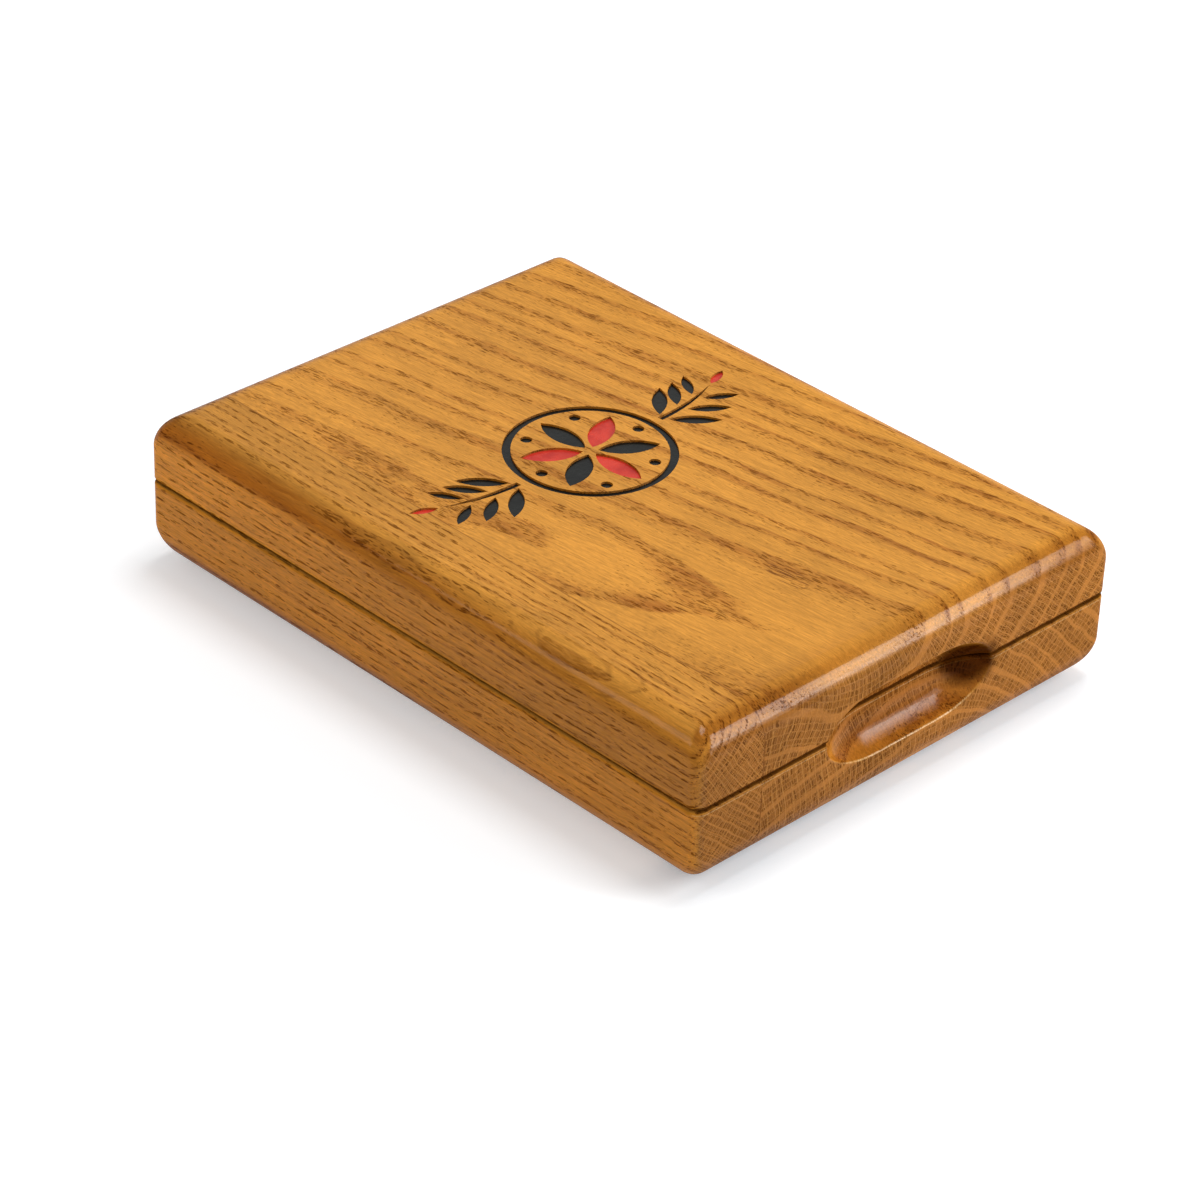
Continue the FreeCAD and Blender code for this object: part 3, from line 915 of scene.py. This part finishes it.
CORNER_POINTS = 9  # points round each corner of the outline
POINT_SPLITS = 4  # steps from each of them to the next
EDGE_ROWS = 9
EDGE_DRAW = 0.8  # how far the cut edge is drawn in, as a share of its height
FACE_ROWS = 12
OUTER_SHARE, INNER_SHARE = 0.94, 0.08
SWELL_LENGTHS = (5.3, 7.1)  # millimetres per radian of the show face's swell
SWELL_DEPTH = 0.04  # millimetres


def felt_outline(inset):
    """Points round the felt's outline, drawn in by an inset in millimetres.

    Four quarter circles are joined by straight sides, and each step from point to point is
    split evenly.
    """
    corner = np.linspace(0.0, math.pi / 2, CORNER_POINTS)
    quarters = np.concatenate([corner + turn * math.pi / 2 for turn in range(4)])
    centre = np.array([[1, 1], [-1, 1], [-1, -1], [1, -1]]).repeat(CORNER_POINTS, axis=0) * (
        np.array(FELT_SIZE) / 2 - FELT_CORNER)
    arrow = np.stack([np.cos(quarters), np.sin(quarters)], axis=1)
    ahead = np.arange(len(quarters) + 1)
    points = (centre + arrow * (FELT_CORNER - inset))[ahead % len(quarters)]
    steps = np.arange(0.0, len(quarters), 1 / POINT_SPLITS)
    return np.stack([np.interp(steps, ahead, points[:, k]) for k in (0, 1)], axis=1)


def felt_rows():
    """Outlines with their heights, from the middle of the back to that of the show face.

    Round the cut edge, for a from -90 to 90 degrees, the height is half·sin a and the outline
    is drawn in by a share of half·(1 - cos a). Over both faces it shrinks evenly.
    """
    half = FELT_THICKNESS / 2
    angles = np.linspace(-math.pi / 2, math.pi / 2, EDGE_ROWS)
    rim = [(felt_outline(half * (1 - math.cos(a)) * EDGE_DRAW), half * math.sin(a))
           for a in angles]
    shares = np.linspace(OUTER_SHARE, INNER_SHARE, FACE_ROWS)
    back = [(rim[0][0] * share, -half) for share in shares[::-1]]
    show = [(rim[-1][0] * share, half) for share in shares]
    return back + rim + show


def felt_points(rows, low, facing, seed):
    """The points of the rows, and last the middles of the back and of the show face.

    The show face swells by a product of sines. Facing is 1 where it looks up and -1 where it
    looks down.
    """
    half = FELT_THICKNESS / 2
    flat = np.concatenate([outline for outline, _ in rows])
    up = np.repeat([height for _, height in rows], len(rows[0][0]))
    wave = (np.sin(flat[:, 0] / SWELL_LENGTHS[0] + seed)
            * np.sin(flat[:, 1] / SWELL_LENGTHS[1] + 2 * seed))
    up = up + np.where(up > 0, (wave - 1.0) * SWELL_DEPTH, 0.0)
    points = np.column_stack([flat, up * facing + low + half])
    ends = np.array([[0.0, 0.0, low + half - half * facing],
                     [0.0, 0.0, low + half + (half - SWELL_DEPTH) * facing]])
    return np.concatenate([points, ends]) * MM


def felt_faces(count, around, facing):
    """Four-sided faces between the rows, and a fan of triangles in the middle of each face."""
    ring = np.arange(around)
    ahead = (ring + 1) % around
    row = np.arange(count - 1)[:, None] * around
    quads = np.stack([row + ring, row + ahead, row + around + ahead, row + around + ring],
                     axis=-1).reshape(-1, 4)
    first, top = count * around, (count - 1) * around
    under = np.stack([ahead, ring, np.full(around, first)], axis=1)
    over = np.stack([top + ring, top + ahead, np.full(around, first + 1)], axis=1)
    return [face[::facing] for part in (quads, under, over) for face in part.tolist()]


def felt_sheet(name, low, facing, seed):
    """A rectangle of felt laid flat, with round corners and soft cut edges.

    The first parameter runs round the outline and the second from the middle of the back,
    over the cut edge, to the middle of the show face.
    """
    rows = felt_rows()
    piece = add_mesh(name, felt_points(rows, low, facing, seed).tolist(),
                     felt_faces(len(rows), len(rows[0][0]), facing))
    piece.data.shade_smooth()
    return piece


# -------- the box's pieces

OAK = OakFigure(build_log_group(build_ring_line_group())).tree
LID_OAK = oak_material("lid_oak", OAK, LID_BOARD, LID_STRIP)
BASE_OAK = oak_material("base_oak", OAK, BASE_BOARD, BASE_STRIP)
ENAMEL = build_enamel_group()
BLACK = enamel_material("black_enamel_paint", ENAMEL, srgb(18, 21, 18), srgb(9, 11, 9),
                        srgb(60, 62, 56))
RED = enamel_material("red_enamel_paint", ENAMEL, srgb(216, 62, 44), srgb(184, 40, 30),
                      srgb(236, 120, 96))
TURNED = build_turned_metal_group()
BRASS = turned_material("turned_brass", TURNED, PIN_AXIS, srgb(222, 184, 108),
                        srgb(176, 128, 66))
NICKEL = turned_material("ground_nickel", TURNED, MAGNET_AXIS, srgb(206, 204, 198),
                         srgb(150, 146, 138))
FELT = felt_material()
FINISHES = {"lid_shell": LID_OAK, "base_shell": BASE_OAK, "black_enamel_inlay": BLACK,
            "red_enamel_inlay": RED, "base_felt_liner": FELT, "lid_felt_liner": FELT,
            "locating_pin_left": BRASS, "locating_pin_right": BRASS}


def dress(node, material):
    """Gives a CAD node a material in place of its own."""
    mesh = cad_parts[node].data
    mesh.materials.clear()
    mesh.materials.append(material)


def lay_felt(name, body, liner, low, facing, seed):
    """Lays a sheet of felt on a shell in place of the liner's plain solid."""
    piece = felt_sheet(name, low, facing, seed)
    piece.data.materials.append(FELT)
    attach(piece, body)
    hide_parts(liner)


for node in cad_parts:
    dress(node, FINISHES.get(node, NICKEL))
lay_felt("base_felt", "base", "base_felt_liner", BASE_FELT_LOW, 1, 0.4)
lay_felt("lid_felt", "lid", "lid_felt_liner", LID_FELT_LOW, -1, 1.9)


# -------- camera and studio

EYE = Vector((-364.48, -358.21, 327.99)) * MM
VIEW_RIGHT = Vector((0.71901, -0.69423, 0.03273))
VIEW_DOWN = Vector((-0.35359, -0.40595, -0.84272))
VIEW_FORWARD = Vector((0.59833, 0.59435, -0.53735))
LENS = 122.87  # millimetres, on a sensor this wide
SENSOR = 36.0

# The floor's paper, in metres: its size, and where it darkens at the foot of the front end
FLOOR_SIZE = 6.0
PAPER = {"Base Color": (0.80, 0.82, 0.84, 1.0), "Roughness": 0.9, "Specular IOR Level": 0.0}
PAPER_GLOW = 0.385
FOOT_TINT = (0.55, 0.66, 0.74, 1.0)
FOOT_LENGTH = (-0.068, -0.055, -0.051, -0.046)
FOOT_SIDES = (0.030, 0.052, 1.0, 0.0)

# The room: how white and how dark it is, and the height of the white's upper edge
ROOM_WHITE = (0.75, 0.75, 0.75, 1.0)
ROOM_DARK = (0.4, 0.4, 0.4, 1.0)
DIAGONAL = 0.7071  # of X and of Y in the direction behind the box
EDGE_LOW, EDGE_RISE = 0.14, 0.45
BEHIND_BOX = (0.35, 0.8)
SOFT_EDGE = (-0.06, 0.08, 1.0, 0.0)

# Azimuth, elevation and distance; height of the target; width and height; watts; roll
LAMPS = {
    "overhead": ((10, 76, 1.3), 0.0, (0.5, 0.5), 6.8, 0.0),
    "front_glow": ((-54, 19, 1.1), 0.02, (0.4, 0.26), 1.3, 0.0),
    "side_glow": ((143, 37, 1.1), 0.02, (0.3, 0.26), 0.6, 0.0),
    "front_box": ((-45, 32, 1.1), 0.02, (0.56, 0.26), 5.6, 56.0)}


def set_camera():
    """The camera, turned by its own right, down and forward directions."""
    camera = add_object("camera", bpy.data.cameras.new("camera"))
    camera.data.lens = LENS
    camera.data.sensor_width = SENSOR
    turn = Matrix((VIEW_RIGHT, -VIEW_DOWN, -VIEW_FORWARD)).transposed()
    camera.matrix_world = Matrix.Translation(EYE) @ turn.to_4x4()
    bpy.context.scene.camera = camera


def backdrop_material():
    """White paper that shows as white to the camera and in reflections, and takes shadows.

    At the foot of the box's front end the paper's own light fades, for the shade of the
    round lower edge.
    """
    material, nodes, shader = principled("white_paper", PAPER)
    path = nodes.add("ShaderNodeLightPath")
    seen = nodes.largest(*(path.outputs[f"Is {kind} Ray"]
                           for kind in ("Camera", "Glossy", "Transmission")))
    across, along, _ = nodes.split(nodes.add("ShaderNodeTexCoord").outputs["Object"])
    foot = nodes.product(nodes.band(along, *FOOT_LENGTH),
                         nodes.ramp(nodes.math("ABSOLUTE", across), *FOOT_SIDES))
    nodes.put(shader.inputs["Emission Color"], nodes.blend(foot, WHITE, FOOT_TINT))
    nodes.put(shader.inputs["Emission Strength"], nodes.product(seen, PAPER_GLOW))
    return material


def area_light(name, place, target, size, watts, roll):
    """A soft rectangular lamp at a place, facing a target, turned about its own axis by degrees."""
    lamp = bpy.data.lights.new(name, "AREA")
    lamp.shape = "RECTANGLE"
    lamp.size, lamp.size_y = size
    lamp.energy = watts
    holder = add_object(name, lamp)
    aim = (Vector(target) - Vector(place)).to_track_quat("-Z", "Y").to_matrix().to_4x4()
    rolled = Matrix.Rotation(math.radians(roll), 4, "Z")
    holder.matrix_world = Matrix.Translation(place) @ aim @ rolled


def room_world():
    """A dark room with a white sweep: white up to a low horizon, higher behind the box."""
    world = bpy.data.worlds.new("room")
    world.use_nodes = True
    nodes = Nodes(world.node_tree)
    across, away, up = nodes.split(nodes.add("ShaderNodeTexCoord").outputs["Generated"])
    behind = nodes.math("ADD", nodes.product(across, DIAGONAL),
                        nodes.product(away, DIAGONAL))
    edge = nodes.product(nodes.ramp(behind, *BEHIND_BOX), EDGE_RISE)
    edge = nodes.math("ADD", edge, EDGE_LOW)
    white = nodes.ramp(nodes.math("SUBTRACT", up, edge), *SOFT_EDGE)
    background = world.node_tree.nodes["Background"]
    nodes.put(background.inputs["Color"], nodes.blend(white, ROOM_DARK, ROOM_WHITE))
    background.inputs["Strength"].default_value = 1.0
    bpy.context.scene.world = world


def lamp_place(azimuth, elevation, distance):
    """A place seen from the box at an azimuth from +X towards +Y and an elevation, in degrees."""
    turn, rise = math.radians(azimuth), math.radians(elevation)
    return (distance * math.cos(rise) * math.cos(turn),
            distance * math.cos(rise) * math.sin(turn), distance * math.sin(rise))


def set_studio():
    """A white floor, the room and soft lamps."""
    half = FLOOR_SIZE / 2
    corners = [(-half, -half, 0), (half, -half, 0), (half, half, 0), (-half, half, 0)]
    floor = add_mesh("floor", corners, [(0, 1, 2, 3)])
    floor.data.materials.append(backdrop_material())
    room_world()
    for name, (direction, target_height, size, watts, roll) in LAMPS.items():
        area_light(name, lamp_place(*direction), (0, 0, target_height), size, watts, roll)


set_camera()
set_studio()
bpy.context.scene.view_settings.view_transform = "Standard"
